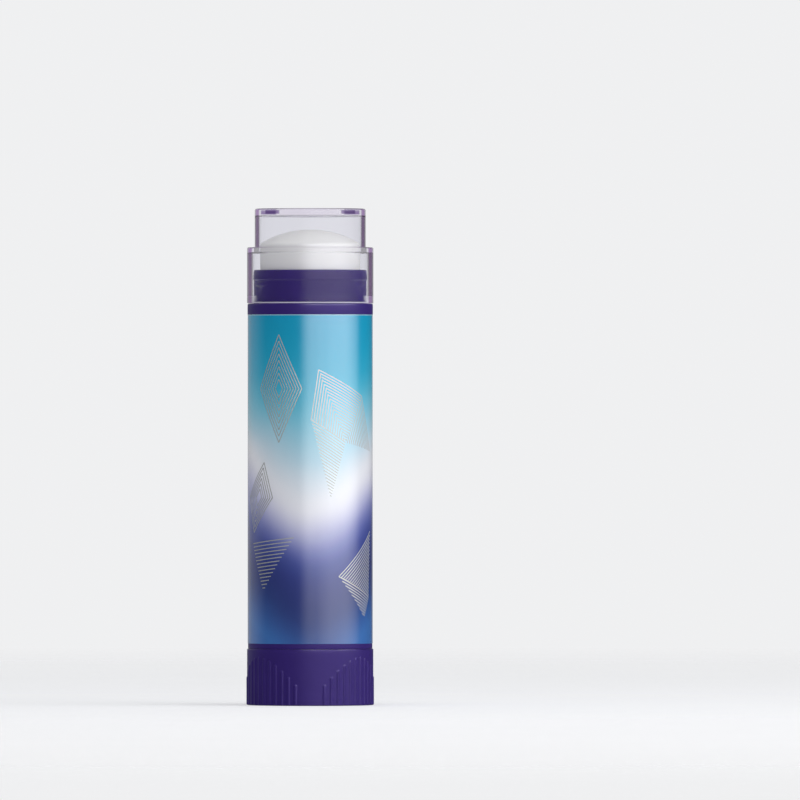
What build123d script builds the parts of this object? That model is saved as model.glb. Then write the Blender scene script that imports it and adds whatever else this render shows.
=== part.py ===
from build123d import *
import math
import os

# Twist-up eraser stick: a ribbed knob turns a screw, and the screw drives a keyed carrier
# that pushes a white eraser out of the neck. A clear stepped cap slides over the neck.
# Millimetres, +Z up, origin on the axis at the underside of the knob. The front faces -Y.

# Eraser
eraser_radius = 8.0
tip_protrusion = 6.45
dome_height = 2.3
dome_edge_fillet = 0.6
eraser_bore_room = 0.5
eraser_bore_spare_depth = 1.0

# Screw
screw_core_radius = 1.8
thread_depth = 0.7
thread_lead = 5.0
thread_root_width = 1.6
thread_crest_width = 0.9
thread_clearance = 0.15
screw_tip_length = 0.6

# Carrier
cup_fit = 0.05
cup_wall = 0.6
cup_depth = 5.0
cup_floor = 1.2
carrier_skirt = 4.16
nut_radius = 4.0
web_thickness = 0.8
key_height = 0.4
key_width = 1.2
key_clearance = 0.1
key_count = 4
first_key_angle = 45.0

# Barrel
bore_clearance = 0.1
keyway_wall = 0.75
label_thickness = 0.1
label_length = 52.6
label_seam = 0.3
foot_band_inset = 0.05
collar_proud = 0.03
foot_band_height = 0.75
collar_height = 1.75
collar_fillet = 0.2
neck_height = 5.4
neck_wall = 0.8
neck_fillet = 0.25
mouth_clearance = 0.2
mouth_ledge = 1.2
stop_clearance = 0.34
bore_chamfer = 0.2

# Snap ridge round the neck, and three lens-shaped bumps below it
ridge_height = 0.12
ridge_drop = 1.5
ridge_foot_height = 0.25
bump_height = 0.12
bump_width = 0.93
bump_drop = 2.3
bump_half_angle = 12.0
bump_count = 3
first_bump_angle = -30.0

# Knob
knob_height = 9.0
knob_proud = 0.1
knob_gap = 0.1
knob_wall = 1.2
knob_floor = 1.2
knob_edge_fillet = 0.25
foot_recess_depth = 0.4
foot_rim_width = 2.0
foot_chamfer = 0.12
gate_mark_radius = 1.2
gate_mark_height = 0.15

# Grip ribs. Their tops dip at the front and on each side, and stay high at the back
rib_pitch_count = 54
dip_pitches = (-16, 0, 16)
dip_half_pitches = 8
bare_half_pitches = 1
rib_round_radius = 0.45
rib_height = 0.12
rib_crest_drop = 1.05
dip_depth = 7.4
dip_power = 1.8

# Drum under the screw, which the knob drives through splines
drum_fit = 0.05
drum_wall = 1.0
drum_top_thickness = 1.2
spline_count = 6
spline_width = 0.8
spline_depth = 0.5
spline_height = 5.0
spline_clearance = 0.05
spigot_height = 3.0
spigot_wall = 1.0
spigot_clearance = 0.08
snap_height = 0.25
snap_width = 0.8
snap_rise = 1.6
snap_clearance = 0.1
carrier_rest_gap = 0.3

# Cap
cap_clearance = 0.1
skirt_wall = 0.88
crown_clearance = 0.2
crown_wall = 0.67
cap_seat_gap = 0.05
neck_room = 2.8
step_thickness = 0.8
tip_room = 2.28
cap_top_thickness = 1.07
cap_edge_fillet = 0.35
step_edge_fillet = 0.25
cap_mouth_chamfer_depth = 0.35
cap_mouth_chamfer_height = 1.2
gate_disc_radius = 4.3
gate_disc_height = 0.3
gate_dimple_radius = 1.0

# Cutting tools run this far past the faces that they cut
overrun = 1.0

# Radii, from the screw outwards
screw_crest_radius = screw_core_radius + thread_depth
eraser_bore_radius = screw_crest_radius + eraser_bore_room
cup_inner_radius = eraser_radius + cup_fit
cup_radius = cup_inner_radius + cup_wall
key_radius = cup_radius + key_height
bore_radius = cup_radius + bore_clearance
keyway_radius = key_radius + key_clearance
recess_radius = keyway_radius + keyway_wall
label_radius = recess_radius + label_thickness
foot_band_radius = label_radius - foot_band_inset
collar_radius = label_radius + collar_proud
neck_bore_radius = eraser_radius + mouth_clearance
neck_radius = neck_bore_radius + neck_wall
knob_radius = label_radius + knob_proud
knob_inner_radius = knob_radius - knob_wall
drum_radius = knob_inner_radius - drum_fit
spigot_radius = bore_radius - spigot_clearance
snap_radius = spigot_radius + snap_height
ridge_radius = neck_radius + ridge_height
skirt_bore_radius = ridge_radius + cap_clearance
skirt_radius = skirt_bore_radius + skirt_wall
crown_bore_radius = eraser_radius + crown_clearance
crown_radius = crown_bore_radius + crown_wall

# Heights, from the foot up
barrel_bottom = knob_height + knob_gap
label_bottom = barrel_bottom + foot_band_height
label_top = label_bottom + label_length
shoulder_z = label_top + collar_height
neck_top = shoulder_z + neck_height
bore_top = shoulder_z - mouth_ledge
ridge_z = neck_top - ridge_drop
bump_z = neck_top - bump_drop
spigot_top = knob_height + spigot_height
snap_z = knob_height + snap_rise
carrier_bottom = spigot_top + carrier_rest_gap
cup_floor_bottom = carrier_bottom + carrier_skirt
seat_z = cup_floor_bottom + cup_floor
cup_rim = seat_z + cup_depth
carrier_travel = bore_top - stop_clearance - cup_rim
screw_top = seat_z + carrier_travel + screw_tip_length
eraser_top = neck_top + tip_protrusion
eraser_bore_top = screw_top + eraser_bore_spare_depth
cap_bottom = shoulder_z + cap_seat_gap
skirt_bore_top = neck_top + neck_room
cap_step_z = skirt_bore_top + step_thickness
crown_bore_top = eraser_top + tip_room
cap_top = crown_bore_top + cap_top_thickness


def revolved_outline(points, mode=Mode.ADD):
    """Turns an outline of (radius, height) points about the axis, inside a part."""
    with BuildSketch(Plane.XZ) as outline:
        with BuildLine():
            Polyline(*points, close=True)
        make_face()
    revolve(outline.sketch, axis=Axis.Z, mode=mode)


def edges_at(shape, radius, height):
    """The circular edges of that radius at that height."""
    tolerance = overrun / 1000
    return [
        edge
        for edge in shape.edges().filter_by(GeomType.CIRCLE)
        if abs(edge.radius - radius) < tolerance and abs(edge.arc_center.Z - height) < tolerance
    ]


def threaded_rod(core, crest, root_width, crest_width, bottom, top):
    """A right-handed screw whose ridge points along +X at height zero, whatever its ends."""
    half_root = 180 * root_width / thread_lead
    half_crest = 180 * crest_width / thread_lead
    turn_at_bottom = 360 * bottom / thread_lead

    def polar(radius, angle):
        turned = math.radians(angle + turn_at_bottom)
        return (radius * math.cos(turned), radius * math.sin(turned))

    with BuildSketch(Plane.XY.offset(bottom)) as section:
        with BuildLine():
            Line(polar(core, half_root), polar(crest, half_crest))
            ThreePointArc(polar(crest, half_crest), polar(crest, 0), polar(crest, -half_crest))
            Line(polar(crest, -half_crest), polar(core, -half_root))
            ThreePointArc(polar(core, -half_root), polar(core, 180), polar(core, half_root))
        make_face()
    length = top - bottom
    twist = 360 * length / thread_lead
    return Solid.extrude_linear_with_rotation(
        section.sketch.face(), (0, 0, bottom), (0, 0, length), twist
    )


# Barrel: a keyed tube with a recess for the label, a collar and a neck
with BuildPart() as barrel:
    revolved_outline(
        [
            (0, barrel_bottom),
            (foot_band_radius, barrel_bottom),
            (foot_band_radius, label_bottom),
            (recess_radius, label_bottom),
            (recess_radius, label_top),
            (collar_radius, label_top),
            (collar_radius, shoulder_z),
            (neck_radius, shoulder_z),
            (neck_radius, ridge_z - ridge_foot_height),
            (ridge_radius, ridge_z),
            (neck_radius, neck_top),
            (0, neck_top),
        ]
    )
    fillet(edges_at(barrel, collar_radius, shoulder_z), collar_fillet)
    fillet(edges_at(barrel, neck_radius, neck_top), neck_fillet)
    # Each bump is the part of a small ring, set off the axis, that shows through the neck
    bump_round_radius = ((bump_width / 2) ** 2 + bump_height**2) / (2 * bump_height)
    bump_reach = neck_radius + bump_height
    bump_ring_offset = (bump_reach**2 - neck_radius**2) / (
        2 * (bump_reach - neck_radius * math.cos(math.radians(bump_half_angle)))
    )
    with Locations((0, 0, bump_z)):
        with PolarLocations(bump_ring_offset, bump_count, first_bump_angle):
            Torus(bump_reach - bump_ring_offset - bump_round_radius, bump_round_radius)
    # The inside: bore, snap groove and the narrower mouth that stops the carrier
    groove_half_width = snap_width / 2 + snap_clearance
    groove_radius = snap_radius + snap_clearance
    revolved_outline(
        [
            (0, barrel_bottom - overrun),
            (bore_radius + bore_chamfer + overrun, barrel_bottom - overrun),
            (bore_radius, barrel_bottom + bore_chamfer),
            (bore_radius, snap_z - groove_half_width),
            (groove_radius, snap_z - groove_half_width),
            (groove_radius, snap_z + groove_half_width),
            (bore_radius, snap_z + groove_half_width),
            (bore_radius, bore_top),
            (neck_bore_radius, bore_top),
            (neck_bore_radius, neck_top + overrun),
            (0, neck_top + overrun),
        ],
        mode=Mode.SUBTRACT,
    )
    # Keyways that let the carrier slide and not turn
    with BuildSketch(Plane.XY.offset(barrel_bottom)):
        with PolarLocations(0, key_count, first_key_angle):
            Rectangle(
                keyway_radius,
                key_width + 2 * key_clearance,
                align=(Align.MIN, Align.CENTER),
            )
    extrude(amount=bore_top - barrel_bottom, mode=Mode.SUBTRACT)
barrel.part.label = "barrel"

# Label: a printed film round the recess, with a butt seam at the back
with BuildPart() as label:
    with BuildSketch(Plane.XY.offset(label_bottom)):
        Circle(label_radius)
        Circle(recess_radius, mode=Mode.SUBTRACT)
        Rectangle(
            label_seam,
            label_radius + overrun,
            align=(Align.CENTER, Align.MIN),
            mode=Mode.SUBTRACT,
        )
    extrude(amount=label_length)
label.part.label = "label"

# Knob: the ribbed cup that the fingers turn and that the stick stands on
with BuildPart() as knob:
    floor_top = foot_recess_depth + knob_floor
    foot_recess_radius = knob_radius - foot_rim_width
    revolved_outline(
        [
            (0, foot_recess_depth),
            (foot_recess_radius, foot_recess_depth),
            (foot_recess_radius, 0),
            (knob_radius - foot_chamfer, 0),
            (knob_radius, foot_chamfer),
            (knob_radius, knob_height),
            (knob_inner_radius, knob_height),
            (knob_inner_radius, floor_top),
            (0, floor_top),
        ]
    )
    fillet(edges_at(knob, knob_radius, knob_height), knob_edge_fillet)
    with BuildSketch(Plane.XY.offset(foot_recess_depth)):
        Circle(gate_mark_radius)
    extrude(amount=-gate_mark_height)
    # Grip ribs: round-topped posts sunk into the wall
    rib_axis_radius = knob_radius + rib_height - rib_round_radius
    rib_crest_top = knob_height - rib_crest_drop
    ribs = []
    for rib in range(rib_pitch_count):
        around = 360 * rib / rib_pitch_count
        half_turn = rib_pitch_count / 2
        from_dip = min(
            abs((rib - dip + half_turn) % rib_pitch_count - half_turn) for dip in dip_pitches
        )
        if from_dip <= bare_half_pitches:
            continue
        into_dip = max(0, dip_half_pitches - from_dip) / dip_half_pitches
        top = rib_crest_top - dip_depth * into_dip**dip_power
        x = rib_axis_radius * math.sin(math.radians(around))
        y = -rib_axis_radius * math.cos(math.radians(around))
        post = Solid.make_cylinder(
            rib_round_radius, top - rib_round_radius - foot_chamfer, Plane((x, y, foot_chamfer))
        )
        tip = Solid.make_sphere(rib_round_radius, Plane((x, y, top - rib_round_radius)))
        ribs += [post, tip]
    add(ribs)
    # Splines inside the wall, which turn the drum
    with BuildSketch(Plane.XY.offset(floor_top)):
        with PolarLocations(knob_inner_radius - spline_depth, spline_count):
            Rectangle(
                spline_depth + knob_wall / 2, spline_width, align=(Align.MIN, Align.CENTER)
            )
    extrude(amount=spline_height)
knob.part.label = "knob"

# Spindle: screw, spigot and splined drum, moulded in one and snapped into the barrel
with BuildPart() as spindle:
    drum_ceiling = knob_height - drum_top_thickness
    drum_inner_radius = drum_radius - drum_wall
    spigot_inner_radius = spigot_radius - spigot_wall
    revolved_outline(
        [
            (0, drum_ceiling),
            (drum_inner_radius, drum_ceiling),
            (drum_inner_radius, floor_top),
            (drum_radius, floor_top),
            (drum_radius, knob_height),
            (spigot_radius, knob_height),
            (spigot_radius, snap_z - snap_width / 2),
            (snap_radius, snap_z),
            (spigot_radius, snap_z + snap_width / 2),
            (spigot_radius, spigot_top),
            (spigot_inner_radius, spigot_top),
            (spigot_inner_radius, knob_height),
            (screw_crest_radius, knob_height),
            (screw_crest_radius, spigot_top),
            (0, spigot_top),
        ]
    )
    with BuildSketch(Plane.XY.offset(floor_top)):
        with PolarLocations(knob_inner_radius - spline_depth - spline_clearance, spline_count):
            Rectangle(
                spline_depth + spline_clearance + knob_wall,
                spline_width + 2 * spline_clearance,
                align=(Align.MIN, Align.CENTER),
            )
    extrude(amount=spline_height + spline_clearance, mode=Mode.SUBTRACT)
    add(
        threaded_rod(
            screw_core_radius,
            screw_crest_radius,
            thread_root_width,
            thread_crest_width,
            spigot_top,
            screw_top,
        )
    )
spindle.part.label = "spindle"

# Carrier: a keyed cup with the nut in the middle, held to it by webs
with BuildPart() as carrier:
    revolved_outline(
        [
            (0, carrier_bottom),
            (nut_radius, carrier_bottom),
            (nut_radius, cup_floor_bottom),
            (cup_inner_radius, cup_floor_bottom),
            (cup_inner_radius, carrier_bottom),
            (cup_radius, carrier_bottom),
            (cup_radius, cup_rim),
            (cup_inner_radius, cup_rim),
            (cup_inner_radius, seat_z),
            (0, seat_z),
        ]
    )
    with BuildSketch(Plane.XY.offset(carrier_bottom)):
        with PolarLocations(nut_radius / 2, key_count, first_key_angle):
            Rectangle(
                cup_radius - cup_wall / 2 - nut_radius / 2,
                web_thickness,
                align=(Align.MIN, Align.CENTER),
            )
    extrude(amount=carrier_skirt)
    with BuildSketch(Plane.XY.offset(carrier_bottom)):
        with PolarLocations(cup_radius - cup_wall / 2, key_count, first_key_angle):
            Rectangle(
                key_radius - cup_radius + cup_wall / 2,
                key_width,
                align=(Align.MIN, Align.CENTER),
            )
    extrude(amount=cup_rim - carrier_bottom)
    add(
        threaded_rod(
            screw_core_radius + thread_clearance,
            screw_crest_radius + thread_clearance,
            thread_root_width + 2 * thread_clearance,
            thread_crest_width + 2 * thread_clearance,
            carrier_bottom - overrun,
            seat_z + overrun,
        ),
        mode=Mode.SUBTRACT,
    )
carrier.part.label = "carrier"

# Eraser: a white stick with a domed tip and a blind bore for the screw
with BuildPart() as eraser:
    dome_foot = eraser_top - dome_height
    with BuildSketch(Plane.XZ):
        with BuildLine():
            dome_radius = (eraser_radius**2 + dome_height**2) / (2 * dome_height)
            dome_centre = (0, eraser_top - dome_radius)
            dome_angle = math.degrees(math.asin(eraser_radius / dome_radius))
            CenterArc(dome_centre, dome_radius, 90 - dome_angle, dome_angle)
            Polyline((eraser_radius, dome_foot), (eraser_radius, seat_z), (0, seat_z), (0, eraser_top))
        make_face()
    revolve(axis=Axis.Z)
    fillet(edges_at(eraser, eraser_radius, dome_foot), dome_edge_fillet)
    with BuildSketch(Plane.XY.offset(seat_z)):
        Circle(eraser_bore_radius)
    extrude(amount=eraser_bore_top - seat_z, mode=Mode.SUBTRACT)
eraser.part.label = "eraser"

# Cap: clear, stepped, with a wide skirt over the neck and a narrow crown over the tip
with BuildPart() as cap:
    revolved_outline(
        [
            (0, cap_bottom),
            (skirt_radius, cap_bottom),
            (skirt_radius, cap_step_z),
            (crown_radius, cap_step_z),
            (crown_radius, cap_top),
            (0, cap_top),
        ]
    )
    fillet(edges_at(cap, crown_radius, cap_top), cap_edge_fillet)
    fillet(edges_at(cap, skirt_radius, cap_step_z), step_edge_fillet)
    revolved_outline(
        [
            (0, cap_bottom - overrun),
            (skirt_bore_radius + cap_mouth_chamfer_depth, cap_bottom - overrun),
            (skirt_bore_radius + cap_mouth_chamfer_depth, cap_bottom),
            (skirt_bore_radius, cap_bottom + cap_mouth_chamfer_height),
            (skirt_bore_radius, skirt_bore_top),
            (crown_bore_radius, skirt_bore_top),
            (crown_bore_radius, crown_bore_top),
            (gate_disc_radius, crown_bore_top),
            (gate_disc_radius, crown_bore_top - gate_disc_height),
            (gate_dimple_radius, crown_bore_top - gate_disc_height),
            (gate_dimple_radius, crown_bore_top),
            (0, crown_bore_top),
        ],
        mode=Mode.SUBTRACT,
    )
cap.part.label = "cap"

os.makedirs("parts", exist_ok=True)
for piece in (barrel, label, knob, spindle, carrier, eraser, cap):
    export_step(piece.part, f"parts/{piece.part.label}.step")
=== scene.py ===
import cmath
import math

import bmesh
import bpy
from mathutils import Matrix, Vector


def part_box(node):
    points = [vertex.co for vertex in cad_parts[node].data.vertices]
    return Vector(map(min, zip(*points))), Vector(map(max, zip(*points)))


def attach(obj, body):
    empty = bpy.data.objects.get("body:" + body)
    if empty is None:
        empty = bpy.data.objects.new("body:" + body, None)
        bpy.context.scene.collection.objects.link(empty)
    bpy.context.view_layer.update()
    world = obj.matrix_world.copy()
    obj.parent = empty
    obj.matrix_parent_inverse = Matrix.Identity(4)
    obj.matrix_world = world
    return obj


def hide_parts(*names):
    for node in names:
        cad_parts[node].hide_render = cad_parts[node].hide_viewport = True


# A twist-up eraser stick. The functions that shape its pieces work in millimetres, and a
# point becomes metres when its mesh is made. The front faces -Y, and angles start there.

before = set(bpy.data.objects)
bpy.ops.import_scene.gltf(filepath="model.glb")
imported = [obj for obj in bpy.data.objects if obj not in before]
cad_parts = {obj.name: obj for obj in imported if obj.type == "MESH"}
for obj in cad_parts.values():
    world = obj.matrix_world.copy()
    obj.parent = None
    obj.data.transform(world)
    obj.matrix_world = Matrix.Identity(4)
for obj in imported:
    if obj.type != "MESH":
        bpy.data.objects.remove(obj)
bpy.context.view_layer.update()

MM = 0.001


def extent(node):
    """A node's outer radius, lowest point and highest point, in millimetres."""
    low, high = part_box(node)
    return high.x / MM, low.z / MM, high.z / MM


knob_top = extent("knob")[2]
collar_radius, barrel_bottom, neck_top = extent("barrel")
label_radius, label_bottom, label_top = extent("label")
eraser_radius, eraser_bottom, eraser_top = extent("eraser")
skirt_radius, cap_bottom, cap_top = extent("cap")
cup_radius = extent("carrier")[0]
spindle_top = extent("spindle")[2]

# Walls and fits that the boxes don't give
label_thickness = 0.1
label_seam = 0.3
foot_band_inset = 0.05
foot_reach = 0.06
bore_clearance = 0.1
bore_chamfer = 0.2
mouth_clearance = 0.2
neck_wall = 0.8
neck_height = 5.4
mouth_ledge = 1.2
keyway_radius = 9.15
keyway_half_width = 0.7
keyway_count = 4
groove_radius = 9.02
groove_half_height = 0.5
groove_rise = 1.6
ridge_height = 0.12
ridge_drop = 1.5
ridge_foot_height = 0.25
bump_height = 0.12
bump_width = 0.93
bump_drop = 2.3
bump_half_angle = 12.0
bump_count = 3
first_bump_angle = 60.0
knob_proud = 0.1
knob_wall = 1.2
knob_floor = 1.2
foot_recess_depth = 0.4
foot_rim_width = 2.0
foot_chamfer = 0.12
gate_mark_radius = 1.2
gate_mark_height = 0.15
rib_pitch_count = 54
dip_pitches = (-16, 0, 16)
dip_half_pitches = 8
bare_half_pitches = 1
rib_round_radius = 0.45
rib_height = 0.12
rib_crest_drop = 1.05
dip_depth = 7.4
dip_power = 1.8
dome_height = 2.3
eraser_bore_radius = 3.0
eraser_seat_gap = 0.01
eraser_bore_spare_depth = 1.0
skirt_wall = 0.88
crown_wall = 0.67
crown_clearance = 0.2
neck_room = 2.8
step_thickness = 0.8
cap_top_thickness = 1.07
gate_disc_radius = 4.3
gate_disc_height = 0.3
gate_dimple_radius = 1.0
mouth_chamfer_depth = 0.35
mouth_chamfer_height = 1.2

bore_radius = cup_radius + bore_clearance
neck_bore_radius = eraser_radius + mouth_clearance
neck_radius = neck_bore_radius + neck_wall
shoulder_z = neck_top - neck_height
bore_top = shoulder_z - mouth_ledge
keyway_angle = 180 / keyway_count
keyway_inner_edge = math.degrees(math.asin(keyway_half_width / bore_radius))
keyway_outer_edge = math.degrees(math.atan(keyway_half_width / keyway_radius))
recess_radius = label_radius - label_thickness
knob_radius = label_radius + knob_proud
rib_pitch = 360 / rib_pitch_count
skirt_bore_radius = skirt_radius - skirt_wall
skirt_bore_top = neck_top + neck_room
crown_bore_radius = eraser_radius + crown_clearance
crown_radius = crown_bore_radius + crown_wall
crown_bore_top = cap_top - cap_top_thickness
step_z = skirt_bore_top + step_thickness

# How finely round things are divided, and what counts as the same
barrel_sides = 360
round_sides = 240
same_length = 1e-4
same_angle = 0.01


# Shapes
def rounded(corners, steps=6):
    """The outline through (radius, height, fillet) corners, each fillet an arc in short steps."""
    outline = []
    for i, (r, z, fillet) in enumerate(corners):
        if fillet == 0:
            outline.append((r, z))
            continue
        corner = complex(r, z)
        before = complex(*corners[i - 1][:2]) - corner
        after = complex(*corners[(i + 1) % len(corners)][:2]) - corner
        before, after = before / abs(before), after / abs(after)
        half = abs(cmath.phase(before / after)) / 2
        middle = (before + after) / abs(before + after)
        centre = corner + middle * fillet / math.sin(half)
        start = corner + before * fillet / math.tan(half) - centre
        end = corner + after * fillet / math.tan(half) - centre
        swing = cmath.phase(end / start)
        for step in range(steps + 1):
            point = centre + start * cmath.rect(1, swing * step / steps)
            outline.append((point.real, point.imag))
    return outline


def even_angles(count):
    """Angles all round, in degrees."""
    return [360 * i / count for i in range(count)]


def spread(low, high, step):
    """Values from low to high, at most step apart."""
    count = max(1, math.ceil((high - low) / step))
    return [low + (high - low) * i / count for i in range(count + 1)]


def away_from(angle, first, count):
    """The angle as it is seen from the nearest of count evenly spaced ones, in degrees."""
    period = 360 / count
    return (angle - first + period / 2) % period - period / 2


def near(value, other):
    """Whether two lengths are the same but for rounding."""
    return abs(value - other) < same_length


def on_cylinder(radius, angle, z):
    """The point at that angle from the front, anticlockwise from above, in metres."""
    turned_by = math.radians(angle)
    return Vector((radius * math.sin(turned_by), -radius * math.cos(turned_by), z)) * MM


def finish_mesh(name, shape):
    """Makes the object of a bmesh, smooth but for its sharp edges. Its normals follow the large
    faces, so that a long wall stays straight in its reflections."""
    sharp_angle = math.radians(30)
    bmesh.ops.recalc_face_normals(shape, faces=shape.faces)
    mesh = bpy.data.meshes.new(name)
    shape.to_mesh(mesh)
    shape.free()
    mesh.shade_smooth()
    mesh.set_sharp_from_angle(angle=sharp_angle)
    piece = bpy.data.objects.new(name, mesh)
    bpy.context.scene.collection.objects.link(piece)
    normals = piece.modifiers.new("normals", "WEIGHTED_NORMAL")
    normals.keep_sharp = True
    return piece


def turned(name, outline, angles, reshape=None, open_ends=False):
    """Turns an outline of (radius, height) about the axis. It is a loop, unless it starts and
    ends on the axis. reshape(r, z, angle) gives a point its own radius. With open_ends the
    angles stop short of a full turn, and each end gets a flat face."""
    shape = bmesh.new()
    rings = []
    for r, z in outline:
        if r == 0:
            rings.append([shape.verts.new(on_cylinder(0, 0, z))] * len(angles))
            continue
        radii = [reshape(r, z, angle) if reshape else r for angle in angles]
        rings.append([shape.verts.new(on_cylinder(own, a, z)) for own, a in zip(radii, angles)])
    pairs = list(zip(rings, rings[1:]))
    if outline[0][0] > 0:
        pairs.append((rings[-1], rings[0]))
    spans = range(len(angles) - 1) if open_ends else range(len(angles))
    for lower, upper in pairs:
        for i in spans:
            j = (i + 1) % len(angles)
            corners = []
            for vertex in (lower[i], lower[j], upper[j], upper[i]):
                if vertex not in corners:
                    corners.append(vertex)
            shape.faces.new(corners)
    if open_ends:
        shape.faces.new([ring[0] for ring in rings])
        shape.faces.new([ring[-1] for ring in rings])
    return finish_mesh(name, shape)


# Each bump on the neck is part of a round ring. The ring's centre is off the barrel's axis, so
# that the bump is highest in its middle and dies into the neck at both ends
bump_z = neck_top - bump_drop
bump_reach = neck_radius + bump_height
bump_round_radius = ((bump_width / 2) ** 2 + bump_height**2) / (2 * bump_height)
bump_ring_offset = (bump_reach**2 - neck_radius**2) / (
    2 * (bump_reach - neck_radius * math.cos(math.radians(bump_half_angle)))
)
bump_ring_radius = bump_reach - bump_ring_offset - bump_round_radius


def with_bumps(r, z, angle):
    """The radius of a point of the neck at a height where it has bumps, from its plain radius."""
    away = math.radians(away_from(angle, first_bump_angle, bump_count))
    section = math.sqrt(bump_round_radius**2 - (z - bump_z) ** 2)
    side = bump_ring_offset * math.sin(away)
    if abs(side) >= bump_ring_radius or math.cos(away) <= 0:
        return r
    reach = math.sqrt((bump_ring_radius + section) ** 2 - side**2)
    return max(r, bump_ring_offset * math.cos(away) + reach)


def barrel_angles():
    """Angles round the barrel, with more of them at the keyways' edges and over the bumps."""
    bump_angle_step = 0.5
    angles = set(even_angles(barrel_sides))
    for i in range(keyway_count):
        middle = keyway_angle + 360 * i / keyway_count
        for edge in (keyway_inner_edge, keyway_outer_edge):
            angles |= {middle - edge, middle + edge}
    for i in range(bump_count):
        middle = first_bump_angle + 360 * i / bump_count
        over_bump = spread(middle - bump_half_angle, middle + bump_half_angle, bump_angle_step)
        angles |= {angle % 360 for angle in over_bump}
    return sorted(angles)


def make_barrel():
    """The keyed tube, with its label recess, collar, and neck with a snap ridge and bumps."""

    def reshape(r, z, angle):
        """Raises the bumps on the neck, and cuts the keyways into the bore."""
        if near(r, neck_radius) and abs(z - bump_z) < bump_width / 2:
            return with_bumps(r, z, angle)
        if r < keyway_radius and z < bore_top + bore_clearance and r > neck_bore_radius:
            away = away_from(angle, keyway_angle, keyway_count)
            if abs(away) < keyway_outer_edge + same_angle:
                return keyway_radius / math.cos(math.radians(away))
        return r

    collar_fillet = 0.03
    shoulder_fillet = 0.2
    neck_foot_fillet = 0.12
    ridge_foot_fillet = 0.06
    ridge_fillet = 0.12
    neck_top_fillet = 0.25
    mouth_fillet = 0.12
    ledge_fillet = 0.08
    bump_steps = 14
    foot_z = barrel_bottom - foot_reach
    ridge_z = neck_top - ridge_drop
    groove_low = knob_top + groove_rise - groove_half_height
    groove_high = knob_top + groove_rise + groove_half_height
    bump_levels = spread(bump_z - bump_width / 2, bump_z + bump_width / 2, bump_width / bump_steps)
    corners = [
        (label_radius - foot_band_inset, foot_z, collar_fillet),
        (label_radius - foot_band_inset, label_bottom, 0),
        (recess_radius, label_bottom, 0),
        (recess_radius, label_top, 0),
        (collar_radius, label_top, collar_fillet),
        (collar_radius, shoulder_z, shoulder_fillet),
        (neck_radius, shoulder_z, neck_foot_fillet),
        *[(neck_radius, z, 0) for z in bump_levels],
        (neck_radius, ridge_z - ridge_foot_height, ridge_foot_fillet),
        (neck_radius + ridge_height, ridge_z, ridge_fillet),
        (neck_radius, neck_top, neck_top_fillet),
        (neck_bore_radius, neck_top, mouth_fillet),
        (neck_bore_radius, bore_top, ledge_fillet),
        (bore_radius, bore_top, 0),
        (bore_radius, groove_high, 0),
        (groove_radius, groove_high, 0),
        (groove_radius, groove_low, 0),
        (bore_radius, groove_low, 0),
        (bore_radius, barrel_bottom + bore_chamfer, 0),
        (bore_radius + bore_chamfer, foot_z, 0),
    ]
    return turned("barrel_shell", rounded(corners), barrel_angles(), reshape)


def make_label():
    """The printed film in the barrel's recess, with its butt seam at the back."""
    edge_fillet = 0.03
    angle_step = 1
    corners = [
        (label_radius, label_bottom, edge_fillet),
        (label_radius, label_top, edge_fillet),
        (recess_radius, label_top, 0),
        (recess_radius, label_bottom, 0),
    ]
    seam_half_angle = math.degrees(label_seam / 2 / label_radius)
    angles = spread(seam_half_angle - 180, 180 - seam_half_angle, angle_step)
    return turned("label_film", rounded(corners, steps=3), angles, open_ends=True)


def rib_top(rib):
    """The height of a rib's top, or None where the knob is bare."""
    half_turn = rib_pitch_count / 2
    from_dip = min(abs((rib - dip + half_turn) % rib_pitch_count - half_turn) for dip in dip_pitches)
    if from_dip <= bare_half_pitches:
        return None
    into_dip = max(0, dip_half_pitches - from_dip) / dip_half_pitches
    return knob_top - rib_crest_drop - dip_depth * into_dip**dip_power


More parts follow.
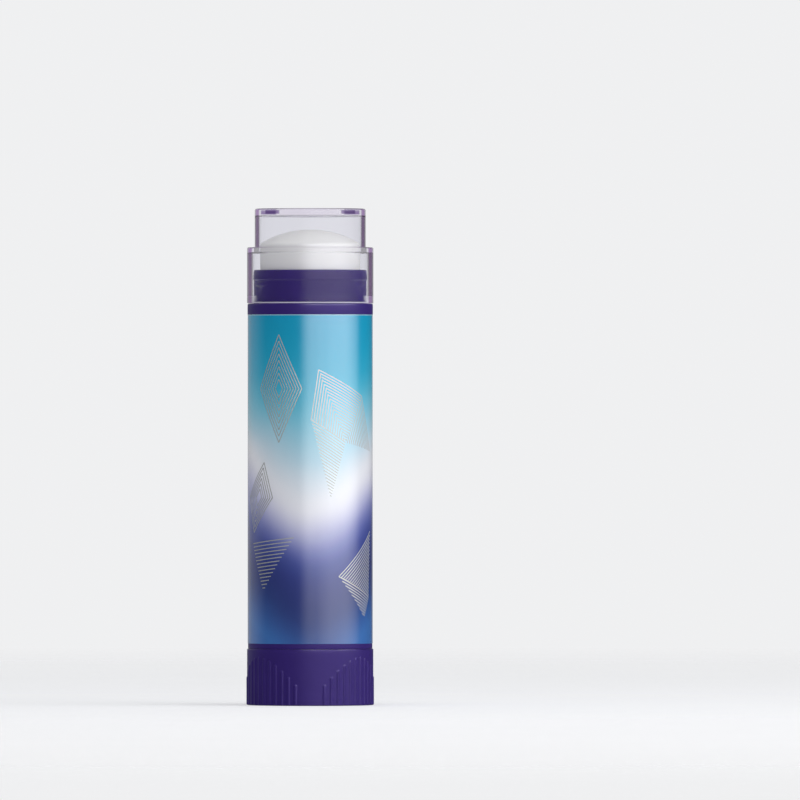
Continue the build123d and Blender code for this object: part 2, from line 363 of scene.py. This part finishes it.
def make_knob():
    """The grip knob, with round-topped ribs whose tops follow the dips."""
    tops = [rib_top(rib) for rib in range(rib_pitch_count)]
    rib_axis_radius = knob_radius + rib_height - rib_round_radius
    foot_half_width = math.sqrt(rib_round_radius**2 - (rib_round_radius - rib_height) ** 2)
    foot_angle = math.degrees(foot_half_width / knob_radius)

    def reshape(r, z, angle):
        """Raises the ribs, whose tops are parts of a ball."""
        rib = round(angle / rib_pitch)
        top = tops[rib % rib_pitch_count]
        if top is None or not near(r, knob_radius):
            return r
        side = knob_radius * math.sin(math.radians(angle - rib * rib_pitch))
        over = max(0, z - top + rib_round_radius)
        room = rib_round_radius**2 - side**2 - over**2
        return max(r, rib_axis_radius + math.sqrt(room)) if room > 0 else r

    beside_rib = 0.1
    steps_on_half_rib = 5
    level_step = 0.09
    mark_fillet = 0.06
    recess_fillet = 0.12
    recess_edge_fillet = 0.1
    chamfer_fillet = 0.05
    top_fillet = 0.12
    mouth_fillet = 0.06
    offsets = [-rib_pitch / 2, -foot_angle - beside_rib, foot_angle + beside_rib]
    offsets += spread(-foot_angle, foot_angle, foot_angle / steps_on_half_rib)
    angles = sorted(rib * rib_pitch + offset for rib in range(rib_pitch_count) for offset in offsets)
    lowest_round = min(top for top in tops if top) - rib_round_radius
    rib_levels = [foot_chamfer, *spread(lowest_round, knob_top - rib_crest_drop, level_step)]
    floor_top = foot_recess_depth + knob_floor
    mark_z = foot_recess_depth - gate_mark_height
    corners = [
        (0, mark_z, 0),
        (gate_mark_radius, mark_z, mark_fillet),
        (gate_mark_radius, foot_recess_depth, mark_fillet),
        (knob_radius - foot_rim_width, foot_recess_depth, recess_fillet),
        (knob_radius - foot_rim_width, 0, recess_edge_fillet),
        (knob_radius - foot_chamfer, 0, chamfer_fillet),
        *[(knob_radius, z, 0) for z in rib_levels],
        (knob_radius, knob_top, top_fillet),
        (knob_radius - knob_wall, knob_top, mouth_fillet),
        (knob_radius - knob_wall, floor_top, 0),
        (0, floor_top, 0),
    ]
    return turned("knob_shell", rounded(corners), angles, reshape)


def make_eraser():
    """The white stick, with its domed tip and the bore for the screw."""
    dome_edge_fillet = 0.6
    foot_fillet = 0.2
    bore_fillet = 0.1
    bore_end_fillet = 0.5
    curve = (eraser_radius**2 + dome_height**2) / (2 * dome_height)
    whole_angle = math.asin(eraser_radius / curve)
    share_before_fillet = 0.93
    share_step = 0.04
    dome = []
    for share in spread(0, share_before_fillet, share_step):
        r = curve * math.sin(whole_angle * share)
        dome.append((r, eraser_top - curve * (1 - math.cos(whole_angle * share)), 0))
    bore_end = spindle_top + eraser_bore_spare_depth
    foot_z = eraser_bottom + eraser_seat_gap
    corners = [
        *dome,
        (eraser_radius, eraser_top - dome_height, dome_edge_fillet),
        (eraser_radius, foot_z, foot_fillet),
        (eraser_bore_radius, foot_z, bore_fillet),
        (eraser_bore_radius, bore_end, bore_end_fillet),
        (0, bore_end, 0),
    ]
    return turned("eraser_stick", rounded(corners, steps=10), even_angles(round_sides))


def make_cap():
    """The clear cap, one shell with a wide skirt, a narrow crown and a gate disc inside the top."""
    top_fillet = 0.35
    step_root_fillet = 0.12
    step_fillet = 0.25
    foot_fillet = 0.08
    mouth_fillet = 0.06
    chamfer_fillet = 0.5
    skirt_bore_fillet = 0.3
    crown_mouth_fillet = 0.15
    crown_bore_fillet = 0.4
    disc_fillet = 0.08
    disc_z = crown_bore_top - gate_disc_height
    mouth_radius = skirt_bore_radius + mouth_chamfer_depth
    corners = [
        (0, cap_top, 0),
        (crown_radius, cap_top, top_fillet),
        (crown_radius, step_z, step_root_fillet),
        (skirt_radius, step_z, step_fillet),
        (skirt_radius, cap_bottom, foot_fillet),
        (mouth_radius, cap_bottom, mouth_fillet),
        (skirt_bore_radius, cap_bottom + mouth_chamfer_height, chamfer_fillet),
        (skirt_bore_radius, skirt_bore_top, skirt_bore_fillet),
        (crown_bore_radius, skirt_bore_top, crown_mouth_fillet),
        (crown_bore_radius, crown_bore_top, crown_bore_fillet),
        (gate_disc_radius, crown_bore_top, disc_fillet),
        (gate_disc_radius, disc_z, disc_fillet),
        (gate_dimple_radius, disc_z, disc_fillet),
        (gate_dimple_radius, crown_bore_top, disc_fillet),
        (0, crown_bore_top, 0),
    ]
    return turned("cap_shell", rounded(corners, steps=8), even_angles(round_sides))


# Silver lines on the label. Their plane is the label unrolled: millimetres round the barrel
# from the front, and millimetres up
foil_width = 0.15
foil_pitch = 0.42
foil_proud = 0.012
foil_step = 0.3


def nested_rhombi(centre, half_width, half_height, count, lean=0.0):
    """Rhombi inside one another, a pitch apart. lean shifts their tops sideways."""
    lines = []
    slope = half_width / math.hypot(half_width, half_height)
    for i in range(count):
        shrink = 1 - i * foil_pitch / (half_height * slope)
        w, h = half_width * shrink, half_height * shrink
        x, z = centre
        tips = [(x + lean * h, z + h), (x + w, z), (x - lean * h, z - h), (x - w, z)]
        lines += list(zip(tips, tips[1:] + tips[:1]))
    return lines


def ruled_facet(start, end, apex, spacing=1.0):
    """Lines that fill a triangle, parallel to its edge from start to end. spacing is in pitches."""
    edge = Vector(end) - Vector(start)
    depth = abs(edge.cross(Vector(apex) - Vector(start))) / edge.length
    count = math.ceil(depth / (foil_pitch * spacing))
    lines = []
    for i in range(count):
        ends = [Vector(corner).lerp(Vector(apex), i / count) for corner in (start, end)]
        lines.append(tuple(tuple(point) for point in ends))
    return lines


def lay_strip(shape, start, end):
    """Adds one silver line to a bmesh, as a thin closed strip that follows the label."""
    start, end = Vector(start), Vector(end)
    along = end - start
    if along.length < foil_width:
        return
    side = Vector((-along.y, along.x)).normalized() * foil_width / 2
    outside = label_radius + foil_proud
    inside = label_radius - foil_proud
    section = ((outside, -1), (outside, 1), (inside, 1), (inside, -1))
    stations = []
    for share in spread(0, 1, foil_step / along.length):
        station = []
        for radius, way in section:
            across, z = start + along * share + side * way
            angle = math.degrees(across / label_radius)
            station.append(shape.verts.new(on_cylinder(radius, angle, z)))
        stations.append(station)
    for first, second in zip(stations, stations[1:]):
        for i in range(len(section)):
            j = (i + 1) % len(section)
            shape.faces.new([first[i], first[j], second[j], second[i]])
    shape.faces.new(stations[0])
    shape.faces.new(stations[-1])


def make_foil():
    """The silver lines as thin strips that lie on the label."""
    lines = [
        *nested_rhombi((-5.2, 50.6), 3.9, 8.6, 8),
        *ruled_facet((1.4, 53.6), (9.6, 49.4), (6.0, 42.0)),
        *ruled_facet((1.4, 53.6), (0.2, 45.6), (6.0, 42.0)),
        *ruled_facet((9.6, 49.4), (12.4, 40.6), (6.0, 42.0)),
        *ruled_facet((0.2, 45.6), (6.0, 42.0), (3.4, 33.0)),
        *nested_rhombi((-9.6, 33.2), 3.2, 5.6, 6, lean=0.25),
        *ruled_facet((-11.4, 25.8), (-2.6, 26.8), (-8.4, 18.2), 1.4),
        *ruled_facet((4.8, 20.6), (12.6, 27.8), (12.0, 17.2)),
        *ruled_facet((4.8, 20.6), (12.0, 17.2), (10.4, 14.0)),
        *nested_rhombi((-21.6, 47.8), 4.4, 8.2, 8, lean=-0.2),
        *ruled_facet((-26.8, 30.4), (-17.2, 33.4), (-19.6, 22.0)),
        *ruled_facet((-26.8, 30.4), (-19.6, 22.0), (-26.0, 18.8)),
        *ruled_facet((17.4, 55.6), (26.4, 57.4), (23.2, 47.2)),
        *ruled_facet((17.4, 55.6), (23.2, 47.2), (17.8, 44.2)),
        *nested_rhombi((23.6, 33.4), 3.8, 7.0, 7, lean=0.25),
        *ruled_facet((16.8, 14.4), (28.0, 13.2), (25.6, 21.8), 1.4),
    ]
    shape = bmesh.new()
    for start, end in lines:
        lay_strip(shape, start, end)
    return finish_mesh("label_foil", shape)


# Node helpers
def srgb(red, green, blue):
    """A colour of 0 to 255 a channel, as linear light."""
    share = [c / 255 for c in (red, green, blue)]
    linear = [c / 12.92 if c <= 0.04045 else ((c + 0.055) / 1.055) ** 2.4 for c in share]
    return (*linear, 1.0)


def set_inputs(tree, node, inputs):
    """Sets a node's inputs. Each is a value, or the output socket that feeds it."""
    for name, value in inputs.items():
        if isinstance(value, bpy.types.NodeSocket):
            tree.links.new(value, node.inputs[name])
        else:
            node.inputs[name].default_value = value


def add_node(tree, kind, inputs=None, **settings):
    """Adds a node with its settings and inputs."""
    node = tree.nodes.new(kind)
    for name, value in settings.items():
        setattr(node, name, value)
    set_inputs(tree, node, inputs or {})
    return node


def calculate(tree, operation, first, second=0.0, third=0.0, clamp=False):
    """One step of arithmetic on sockets or numbers, as an output socket."""
    inputs = {0: first, 1: second, 2: third}
    return add_node(tree, "ShaderNodeMath", inputs, operation=operation, use_clamp=clamp).outputs[0]


def product(tree, first, *others):
    """Sockets or numbers multiplied together."""
    for other in others:
        first = calculate(tree, "MULTIPLY", first, other)
    return first


def object_point(tree):
    """The point on the surface in the row's frame, in metres."""
    return add_node(tree, "ShaderNodeTexCoord").outputs["Object"]


def split(tree, vector):
    """A vector's X, Y and Z."""
    return add_node(tree, "ShaderNodeSeparateXYZ", {"Vector": vector}).outputs


def length(tree, vector):
    """A vector's length."""
    return add_node(tree, "ShaderNodeVectorMath", {0: vector}, operation="LENGTH").outputs["Value"]


def light_path(tree):
    """What is known of the ray that meets the surface, the lamp or the world."""
    return add_node(tree, "ShaderNodeLightPath").outputs


def seen_directly(tree, rays):
    """1 for the camera and for what has come through glass, and 0 for other rays."""
    return calculate(tree, "ADD", rays["Is Camera Ray"], rays["Is Transmission Ray"], clamp=True)


def between(tree, value, low, high, from_low=0.0, from_high=1.0):
    """Maps from_low..from_high to low..high, held within them."""
    inputs = {"Value": value, "From Min": from_low, "From Max": from_high, "To Min": low, "To Max": high}
    return add_node(tree, "ShaderNodeMapRange", inputs).outputs["Result"]


def rising(tree, value, start, end):
    """0 up to start, and 1 from end on."""
    return between(tree, value, 0.0, 1.0, start, end)


def falling(tree, value, start, end):
    """1 up to start, and 0 from end on."""
    return between(tree, value, 1.0, 0.0, start, end)


def noise(tree, point, size_mm, detail=3.0):
    """Soft noise from 0 to 1 whose blots are about size_mm across."""
    inputs = {"Vector": point, "Scale": 1 / (size_mm * MM), "Detail": detail}
    return add_node(tree, "ShaderNodeTexNoise", inputs).outputs["Fac"]


def uneven(tree, point, size_mm, low, high, detail=3.0):
    """A value that wanders from low to high in blots of about size_mm."""
    return between(tree, noise(tree, point, size_mm, detail), low, high)


def mix_colours(tree, share, first, second):
    """The first colour where share is 0 and the second where it is 1."""
    factor_input, first_input, second_input, colour_output = 0, 6, 7, 2
    inputs = {factor_input: share, first_input: first, second_input: second}
    return add_node(tree, "ShaderNodeMix", inputs, data_type="RGBA").outputs[colour_output]


def mottled(tree, point, size_mm, first, second):
    """A colour that wanders from the first to the second in blots of about size_mm."""
    return mix_colours(tree, noise(tree, point, size_mm), first, second)


def bump(tree, height, depth_mm):
    """A bump whose full height is depth_mm."""
    inputs = {"Height": height, "Distance": depth_mm * MM, "Strength": 1.0}
    return add_node(tree, "ShaderNodeBump", inputs).outputs["Normal"]


def upright_tilt(tree):
    """0 where the surface is upright, and 1 where it is level."""
    normal = add_node(tree, "ShaderNodeTexCoord").outputs["Normal"]
    return calculate(tree, "ABSOLUTE", split(tree, normal)["Z"])


def new_material(name):
    """A material, its node tree and its Principled shader."""
    material = bpy.data.materials.new(name)
    material.use_nodes = True
    return material, material.node_tree, material.node_tree.nodes["Principled BSDF"]


# Materials
def purple_plastic():
    """Deep purple moulded plastic, faintly mottled, with a fine spark-eroded grain. It has a
    glossy coat where it is level, and hardly any on the ribs."""
    material, tree, shader = new_material("purple_plastic")
    point = object_point(tree)
    height = split(tree, point)["Z"]
    share_on_ribs = 0.1
    ribs_end, coat_start = (knob_top - 0.5) * MM, (knob_top - 0.3) * MM
    coat_share = between(tree, height, share_on_ribs, 1.0, ribs_end, coat_start)
    level_coat = between(tree, upright_tilt(tree), low=0.0, high=0.5, from_low=0.03, from_high=0.25)
    set_inputs(tree, shader, {
        "Base Color": mottled(tree, point, 3.0, srgb(49, 33, 106), srgb(55, 38, 116)),
        "Roughness": uneven(tree, point, 1.1, 0.36, 0.46),
        "Specular IOR Level": 0.09,
        "Specular Tint": (0.95, 0.85, 1.0, 1.0),
        "Coat Weight": product(tree, level_coat, coat_share),
        "Coat Roughness": 0.1,
        "Normal": bump(tree, noise(tree, point, 0.12, detail=2.0), 0.0012),
    })
    return material


# The label's fade from foot to top, as shares of its height
fade_stops = (
    (0.00, srgb(62, 118, 188)),
    (0.07, srgb(54, 88, 156)),
    (0.14, srgb(46, 62, 124)),
    (0.22, srgb(48, 58, 126)),
    (0.30, srgb(66, 80, 156)),
    (0.36, srgb(116, 124, 190)),
    (0.42, srgb(196, 197, 230)),
    (0.48, srgb(246, 246, 252)),
    (0.54, srgb(236, 240, 248)),
    (0.62, srgb(178, 217, 234)),
    (0.72, srgb(104, 196, 221)),
    (0.82, srgb(12, 168, 204)),
    (1.00, srgb(0, 152, 194)),
)


def fade_level(tree, point):
    """How far up the fade a point of the label is. The colours hang lower at the front and the
    back, except near the top, and wander a little."""
    tongue_count, tongue_turn, tongue_height = 2.0, -0.1, 0.085
    tongue_fade_start, tongue_fade_end = 0.55, 0.8
    wander = 0.06
    axes = split(tree, point)
    forward = calculate(tree, "MULTIPLY", axes["Y"], -1.0)
    angle = calculate(tree, "ARCTAN2", axes["X"], forward)
    height = rising(tree, axes["Z"], label_bottom * MM, label_top * MM)
    phase = calculate(tree, "MULTIPLY_ADD", angle, tongue_count, tongue_turn)
    tongue = calculate(tree, "COSINE", phase)
    low_part = falling(tree, height, tongue_fade_start, tongue_fade_end)
    tongue_lift = product(tree, tongue, tongue_height, low_part)
    blots = uneven(tree, point, 15.0, -wander, wander, detail=1.0)
    return calculate(tree, "ADD", calculate(tree, "ADD", height, tongue_lift), blots)


def fade_colour(tree, level):
    """The fade's colour at a level, through a smooth ramp."""
    ramp = add_node(tree, "ShaderNodeValToRGB", {"Fac": level})
    ramp.color_ramp.interpolation = "B_SPLINE"
    elements = ramp.color_ramp.elements
    for position, colour in fade_stops[1:-1]:
        elements.new(position).color = colour
    elements[0].position, elements[0].color = fade_stops[0]
    elements[-1].position, elements[-1].color = fade_stops[-1]
    return ramp.outputs["Color"]


def printed_film():
    """The label's print: teal that fades through white to navy and blue, under a gloss film, with
    a thin pale edge at its top."""
    material, tree, shader = new_material("printed_film")
    point = object_point(tree)
    print_colour = fade_colour(tree, fade_level(tree, point))
    edge_start, edge_full = (label_top - 0.2) * MM, (label_top - 0.1) * MM
    edge = rising(tree, split(tree, point)["Z"], edge_start, edge_full)
    set_inputs(tree, shader, {
        "Base Color": mix_colours(tree, edge, print_colour, srgb(150, 196, 214)),
        "Roughness": uneven(tree, point, 2.0, 0.17, 0.21),
        "Specular IOR Level": 0.5,
        "Coat Weight": 0.4,
        "Coat Roughness": 0.13,
        "Normal": bump(tree, noise(tree, point, 6.0, detail=1.0), 0.002),
    })
    return material


def silver_foil():
    """Hot-stamped foil, a little dull and uneven."""
    material, tree, shader = new_material("silver_foil")
    point = object_point(tree)
    set_inputs(tree, shader, {
        "Base Color": mottled(tree, point, 0.5, srgb(158, 161, 161), srgb(174, 175, 173)),
        "Metallic": 0.3,
        "Roughness": uneven(tree, point, 0.3, 0.5, 0.62),
    })
    return material


# The cap's plastic. facing is 0 where a face is seen square on and 1 where it is seen edge-on
def wall_tint_and_shade(tree, facing, height, radius):
    """How strongly the cap's walls are tinted lilac: on their outer faces, towards their sides, and less
    at the very edge. It goes by the angle a wall is seen at: partly the plastic's own tint along a longer
    path, partly painted shade that stands in for refraction at the sides."""
    margin = 0.05
    tint_start, tint_full = 0.57, 0.64
    edge_start, edge_full, edge_loss = 0.78, 0.86, 0.55
    skirt_middle = (skirt_bore_radius + skirt_radius) / 2 * MM
    crown_middle = (crown_bore_radius + crown_wall / 2) * MM
    step_low, step_high = (skirt_bore_top + margin) * MM, (step_z - margin) * MM
    wall_middle = between(tree, height, skirt_middle, crown_middle, step_low, step_high)
    outside = calculate(tree, "GREATER_THAN", radius, wall_middle)
    side_tint_and_shade = rising(tree, facing, tint_start, tint_full)
    loss = between(tree, facing, 0.0, edge_loss, edge_start, edge_full)
    return product(tree, calculate(tree, "SUBTRACT", side_tint_and_shade, loss), outside)


def painted_dark_blocks(tree, facing, height):
    """1 in two dark blocks of painted shade within the thickness of the cap's top, and 0 elsewhere. They
    go by the angle a face is seen at and stand in for the dark surroundings that refraction shows there.
    """
    low_margin, high_margin, blur = 0.12, 0.22, 0.12
    near_edge, near_blur = 0.16, 0.02
    far_edge, far_blur = 0.4, 0.03
    low, high = crown_bore_top + low_margin, cap_top - high_margin
    above = rising(tree, height, low * MM, (low + blur) * MM)
    below = falling(tree, height, (high - blur) * MM, high * MM)
    beyond = rising(tree, facing, near_edge, near_edge + near_blur)
    within = falling(tree, facing, far_edge, far_edge + far_blur)
    return product(tree, above, below, beyond, within)


def painted_mouth_glow(tree, facing, height, radius):
    """1 on the cap's foot, and at the sides on the chamfer of its mouth, and 0 elsewhere. There the cap is
    painted white and made less clear, a painted glow in place of the light that clear plastic carries to
    its rim; at the sides it goes by the angle a face is seen at."""
    foot_full, foot_end = 0.1, 0.26
    side_start, side_full = 0.45, 0.55
    chamfer_fade = 0.7
    inner_margin = 0.08
    chamfer_top = (cap_bottom + mouth_chamfer_height) * MM
    foot = falling(tree, height, (cap_bottom + foot_full) * MM, (cap_bottom + foot_end) * MM)
    beside = rising(tree, facing, side_start, side_full)
    fade = between(tree, height, 1.0, chamfer_fade, cap_bottom * MM, chamfer_top)
    in_chamfer = calculate(tree, "LESS_THAN", height, chamfer_top)
    hook = product(tree, beside, fade, in_chamfer)
    inner_edge = (skirt_bore_radius + mouth_chamfer_depth + inner_margin) * MM
    inner = calculate(tree, "LESS_THAN", radius, inner_edge)
    return product(tree, calculate(tree, "MAXIMUM", foot, hook), inner)


# Light that hasn't left the cap's walls after this many reflections is trapped in them
most_reflections = 4


def with_window(tree, shader):
    """The shader, with a clear window in its place for lamps, soft light and trapped light."""
    rays = light_path(tree)
    passes = calculate(tree, "MAXIMUM", rays["Is Shadow Ray"], rays["Is Diffuse Ray"])
    trapped = calculate(tree, "GREATER_THAN", rays["Glossy Depth"], most_reflections - 0.5)
    passes = calculate(tree, "MAXIMUM", passes, trapped)
    window = add_node(tree, "ShaderNodeBsdfTransparent", {"Color": (0.99, 0.99, 0.99, 1.0)})
    inputs = {0: passes, 1: shader.outputs["BSDF"], 2: window.outputs["BSDF"]}
    return add_node(tree, "ShaderNodeMixShader", inputs).outputs["Shader"]


def clear_plastic():
    """Clear cap plastic, lilac where its walls are seen edge-on, partly its own tint and partly painted
    shade, with two dark blocks of painted shade in its top and a painted glow at its mouth. Lamps and soft
    light pass straight through it to what it covers."""
    material, tree, shader = new_material("clear_plastic")
    point = object_point(tree)
    axes = split(tree, point)
    height = axes["Z"]
    flat = add_node(tree, "ShaderNodeCombineXYZ", {"X": axes["X"], "Y": axes["Y"]}).outputs["Vector"]
    radius = length(tree, flat)
    facing = add_node(tree, "ShaderNodeLayerWeight", {"Blend": 0.5}).outputs["Facing"]
    colour = mottled(tree, point, 5.0, srgb(242, 242, 246), srgb(245, 245, 248))
    # Painted shade: the walls turn lilac by the angle they are seen at, partly the plastic's own tint
    colour = mix_colours(tree, wall_tint_and_shade(tree, facing, height, radius), colour, srgb(128, 92, 148))
    # Painted shade: two dark blocks in the thickness of the top
    colour = mix_colours(tree, painted_dark_blocks(tree, facing, height), colour, srgb(104, 84, 134))
    # Painted glow: the mouth is white and less clear, standing in for light carried to the rim
    mouth_glow = painted_mouth_glow(tree, facing, height, radius)
    set_inputs(tree, shader, {
        "Base Color": mix_colours(tree, mouth_glow, colour, srgb(240, 238, 246)),
        "Roughness": uneven(tree, point, 2.5, 0.02, 0.05),
        "IOR": 1.1,
        "Transmission Weight": between(tree, mouth_glow, 1.0, 0.25),
        "Coat Weight": between(tree, upright_tilt(tree), low=0.1, high=0.25, from_low=0.4, from_high=0.85),
        "Coat Roughness": 0.03,
        "Normal": bump(tree, noise(tree, point, 3.0, detail=1.0), 0.004),
    })
    inputs = {"Color": (0.5, 0.3, 0.65, 1.0), "Density": 16.0}
    volume = add_node(tree, "ShaderNodeVolumeAbsorption", inputs)
    output = tree.nodes["Material Output"]
    tree.links.new(volume.outputs["Volume"], output.inputs["Volume"])
    tree.links.new(with_window(tree, shader), output.inputs["Surface"])
    return material


def eraser_vinyl():
    """Soft white vinyl with a powdery surface."""
    material, tree, shader = new_material("eraser_vinyl")
    point = object_point(tree)
    set_inputs(tree, shader, {
        "Base Color": mottled(tree, point, 1.6, srgb(240, 240, 237), srgb(248, 248, 245)),
        "Roughness": uneven(tree, point, 0.8, 0.26, 0.36),
        "Specular IOR Level": 0.5,
        "Subsurface Weight": 0.15,
        "Subsurface Radius": (0.8, 0.8, 0.7),
        "Subsurface Scale": 0.001,
        "Normal": bump(tree, noise(tree, point, 0.1, detail=4.0), 0.004),
    })
    return material


def inner_plastic():
    """The screw's and the carrier's off-white plastic."""
    material, tree, shader = new_material("inner_plastic")
    point = object_point(tree)
    set_inputs(tree, shader, {
        "Base Color": mottled(tree, point, 2.0, srgb(222, 223, 224), srgb(232, 232, 232)),
        "Roughness": uneven(tree, point, 0.7, 0.42, 0.55),
        "Normal": bump(tree, noise(tree, point, 0.15), 0.002),
    })
    return material


# The stage, in metres
def make_floor():
    """A pale round floor that fades out towards its rim. It is a hair under the stick's foot, and
    doesn't show from below. Gloss looks past it, to the strips that go on below it."""
    floor_radius, floor_drop = 1.6, 0.00002
    fade_start, fade_end = 0.12, 0.7
    glow = 0.34
    bpy.ops.mesh.primitive_circle_add(vertices=128, radius=floor_radius, fill_type="NGON")
    floor = bpy.context.object
    floor.name = "floor"
    material, tree, shader = new_material("floor")
    point = object_point(tree)
    presence = falling(tree, length(tree, point), fade_start, fade_end)
    behind = add_node(tree, "ShaderNodeNewGeometry").outputs["Backfacing"]
    from_above = calculate(tree, "SUBTRACT", 1.0, behind)
    set_inputs(tree, shader, {
        "Base Color": mottled(tree, point, 40.0, srgb(206, 207, 210), srgb(210, 211, 214)),
        "Roughness": 0.9,
        "Specular IOR Level": 0.1,
        "Alpha": product(tree, presence, from_above),
        "Emission Color": (1.0, 1.0, 1.0, 1.0),
        "Emission Strength": product(tree, seen_directly(tree, light_path(tree)), glow),
    })
    floor.data.materials.append(material)
    floor.location.z = -floor_drop
    floor.visible_glossy = False


def hang_lamp(light, place, outwards):
    """Puts a lamp in the scene, with its back to outwards. Neither the camera nor glass sees it."""
    lamp = bpy.data.objects.new(light.name, light)
    lamp.location = place
    lamp.rotation_euler = outwards.to_track_quat("Z", "Y").to_euler()
    lamp.visible_camera = False
    lamp.visible_transmission = False
    bpy.context.scene.collection.objects.link(lamp)
    return lamp


def add_strip(name, azimuths, heights, distance, radiance, soft_shares):
    """An upright soft box that faces the stick between two azimuths from the front, in degrees,
    and two heights. It fades out over a share of its width at the left and the right, and over a
    share of its height at its foot. Light that is trapped in the cap doesn't find it."""
    low, high = azimuths
    bottom, top = heights
    left_share, right_share, foot_share = soft_shares
    light = bpy.data.lights.new(name, "AREA")
    light.shape = "RECTANGLE"
    light.size = 2 * distance * math.tan(math.radians(high - low) / 2)
    light.size_y = top - bottom
    light.energy = radiance * math.pi * light.size * light.size_y
    light.use_nodes = True
    tree = light.node_tree
    place = split(tree, add_node(tree, "ShaderNodeNewGeometry").outputs["Parametric"])
    from_left = rising(tree, place["X"], 0.0, left_share)
    to_right = falling(tree, place["X"], 1 - right_share, 1.0)
    from_foot = rising(tree, place["Y"], 0.0, foot_share)
    free = calculate(tree, "LESS_THAN", light_path(tree)["Glossy Depth"], most_reflections - 0.5)
    strength = product(tree, from_left, to_right, free, from_foot)
    tree.links.new(strength, tree.nodes["Emission"].inputs["Strength"])
    middle = math.radians((low + high) / 2)
    outwards = Vector((math.sin(middle), -math.cos(middle), 0))
    return hang_lamp(light, outwards * distance + Vector((0, 0, (bottom + top) / 2)), outwards)


def light_the_stick():
    """Two tall strips that only reflect, a large key on the right that only lights, and soft
    light from above."""
    front = add_strip(
        "front_strip",
        azimuths=(-19, 30),
        heights=(-0.008, 0.6),
        distance=0.6,
        radiance=10.6,
        soft_shares=(0.38, 0.3, 0.34),
    )
    right = add_strip(
        "right_strip",
        azimuths=(14, 104),
        heights=(-0.048, 0.6),
        distance=0.6,
        radiance=10.2,
        soft_shares=(0.27, 0.42, 0.38),
    )
    for strip in (front, right):
        strip.visible_diffuse = False
    key = add_strip(
        "key",
        azimuths=(20, 110),
        heights=(0.0, 0.5),
        distance=0.7,
        radiance=1.8,
        soft_shares=(0.3, 0.3, 0.1),
    )
    key.visible_glossy = False
    light = bpy.data.lights.new("overhead", "AREA")
    light.shape = "DISK"
    light.size = 0.8
    light.energy = 1.7
    place = Vector((0.1, -0.25, 0.9))
    hang_lamp(light, place, place)


def make_world():
    """Soft light all round, with a pale backdrop for the camera and for glass, which is darker
    where the cap's walls mirror it. Gloss finds a dark one, paler only on the left behind."""
    ambient = 0.58
    pale = 0.88
    mirrored_in_glass = 0.42
    dark_in_gloss, pale_in_gloss = 0.05, 0.4
    left_behind = (-0.5, 0.866, 0.0)
    turning_pale, all_pale = 0.5, 0.85
    world = bpy.data.worlds.new("studio")
    bpy.context.scene.world = world
    world.use_nodes = True
    tree = world.node_tree
    direction = add_node(tree, "ShaderNodeTexCoord").outputs["Generated"]
    rays = light_path(tree)
    inputs = {0: direction, 1: left_behind}
    facing = add_node(tree, "ShaderNodeVectorMath", inputs, operation="DOT_PRODUCT").outputs["Value"]
    gloss = between(tree, facing, dark_in_gloss, pale_in_gloss, turning_pale, all_pale)
    seen = seen_directly(tree, rays)
    # A ray that nothing reflected is one deeper than its passages through glass
    straight_depth = 1
    depth = calculate(tree, "SUBTRACT", rays["Ray Depth"], rays["Transmission Depth"])
    straight = calculate(tree, "LESS_THAN", depth, straight_depth + 0.5)
    reflected = calculate(tree, "SUBTRACT", rays["Is Glossy Ray"], seen, clamp=True)
    backdrop = calculate(tree, "MULTIPLY_ADD", straight, pale - mirrored_in_glass, mirrored_in_glass)
    change = calculate(tree, "SUBTRACT", backdrop, ambient)
    strength = calculate(tree, "MULTIPLY_ADD", seen, change, ambient)
    change = calculate(tree, "SUBTRACT", gloss, ambient)
    strength = calculate(tree, "MULTIPLY_ADD", reflected, change, strength)
    background = tree.nodes["Background"]
    background.inputs["Color"].default_value = (0.985, 0.99, 1.0, 1.0)
    tree.links.new(strength, background.inputs["Strength"])


def make_camera():
    """A long lens straight on, which puts the stick where the photograph has it."""
    frame_pixels = 800
    pixels_per_mm = 6.25
    axis_pixel = 310.2
    foot_pixel = 704.9
    distance = 3.0
    across = (frame_pixels / 2 - axis_pixel) / pixels_per_mm * MM
    up = (foot_pixel - frame_pixels / 2) / pixels_per_mm * MM
    data = bpy.data.cameras.new("camera")
    data.lens = data.sensor_width * distance / (frame_pixels / pixels_per_mm * MM)
    data.clip_end = 10.0
    camera = bpy.data.objects.new("camera", data)
    camera.location = (across, -distance, up)
    camera.rotation_euler = (math.pi / 2, 0, 0)
    bpy.context.scene.collection.objects.link(camera)
    bpy.context.scene.camera = camera


# Assembly
purple = purple_plastic()
pieces = [
    (make_barrel(), "barrel", "barrel", "purple_plastic", purple),
    (make_label(), "barrel", "label", "printed_film", printed_film()),
    (make_foil(), "barrel", None, "printed_film", silver_foil()),
    (make_knob(), "knob", "knob", "purple_plastic", purple),
    (make_eraser(), "eraser", "eraser", "eraser_vinyl", eraser_vinyl()),
    (make_cap(), "cap", "cap", "clear_plastic", clear_plastic()),
]
for piece, body, node, slot, material in pieces:
    piece.data.materials.append(material)
    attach(piece, body)
    if node:
        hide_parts(node)

inner = inner_plastic()
for node in ("spindle", "carrier"):
    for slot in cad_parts[node].material_slots:
        slot.material = inner

make_floor()
make_world()
make_camera()
light_the_stick()
bpy.context.scene.view_settings.view_transform = "Standard"
